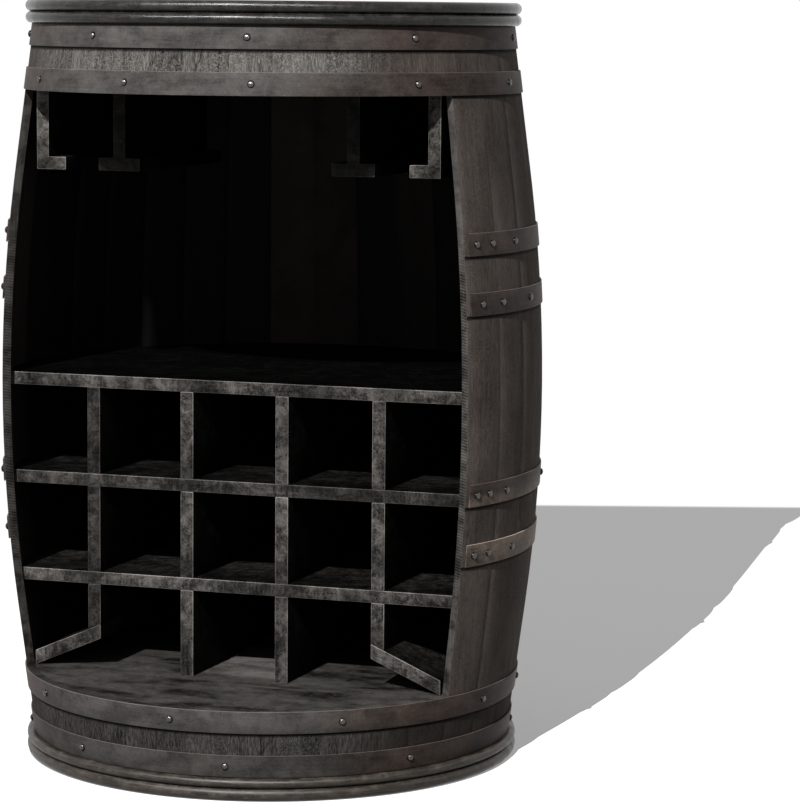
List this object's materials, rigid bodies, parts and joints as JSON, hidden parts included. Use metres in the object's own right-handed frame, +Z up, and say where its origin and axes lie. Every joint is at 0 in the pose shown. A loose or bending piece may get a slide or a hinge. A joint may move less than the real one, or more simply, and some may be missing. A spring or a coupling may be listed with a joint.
{
  "type": "cask drinks cabinet",
  "caption": "Upright cask with an open front: an upper compartment with stemware rails and a bottle rack below.",
  "frame": {"origin": "centre of the flat base, on the ground", "axes": "+Z up along the cask's axis, -Y out of the open front"},
  "size_m": [0.6518, 0.6296, 0.9],
  "materials": {
    "stave_wood": "black-stained open-grained oak, satin",
    "rack_wood": "black-stained board, worn edges",
    "panel_wood": "black-stained panel, satin",
    "inner_wood": "black-stained board, satin",
    "bead_wood": "black lacquered moulding, glossy",
    "hoop_iron": "blackened flat iron, satin",
    "rivet_steel": "domed steel, darkened"
  },
  "bodies": {
    "root": {"stave_01": "stave_wood", "stave_02": "stave_wood", "stave_03": "stave_wood", "stave_04": "stave_wood", "stave_05": "stave_wood", "stave_06": "stave_wood", "stave_07": "stave_wood", "stave_08": "stave_wood", "stave_09": "stave_wood", "stave_10": "stave_wood", "stave_11": "stave_wood", "stave_12": "stave_wood", "stave_13": "stave_wood", "stave_14": "stave_wood", "stave_15": "stave_wood", "stave_16": "stave_wood", "stave_17": "stave_wood", "stave_18": "stave_wood", "stave_19": "stave_wood", "stave_20": "stave_wood", "stave_21": "stave_wood", "stave_22": "stave_wood", "short_staves_top": "stave_wood", "short_staves_bottom": "stave_wood", "hoop_1": "hoop_iron", "hoop_2": "hoop_iron", "hoop_3": "hoop_iron", "hoop_4": "hoop_iron", "hoop_5": "hoop_iron", "hoop_6": "hoop_iron", "hoop_7": "hoop_iron", "hoop_8": "hoop_iron", "full_hoop_rivets": "rivet_steel", "open_hoop_rivets": "rivet_steel", "bead_top_upper": "bead_wood", "bead_top_lower": "bead_wood", "bead_foot_upper": "bead_wood", "bead_foot_lower": "bead_wood", "serving_top": "panel_wood", "base_panel": "panel_wood", "batten_front": "inner_wood", "batten_back": "inner_wood", "bearer_left": "inner_wood", "bearer_right": "inner_wood", "floor_panel": "inner_wood", "shelf_lower": "rack_wood", "shelf_middle": "rack_wood", "shelf_top": "rack_wood", "divider_1": "rack_wood", "divider_2": "rack_wood", "divider_3": "rack_wood", "divider_4": "rack_wood", "slant_left": "rack_wood", "slant_right": "rack_wood", "side_rail_left": "rack_wood", "side_rail_right": "rack_wood", "mid_rail_left": "rack_wood", "mid_rail_right": "rack_wood"}
  },
  "joints": []
}
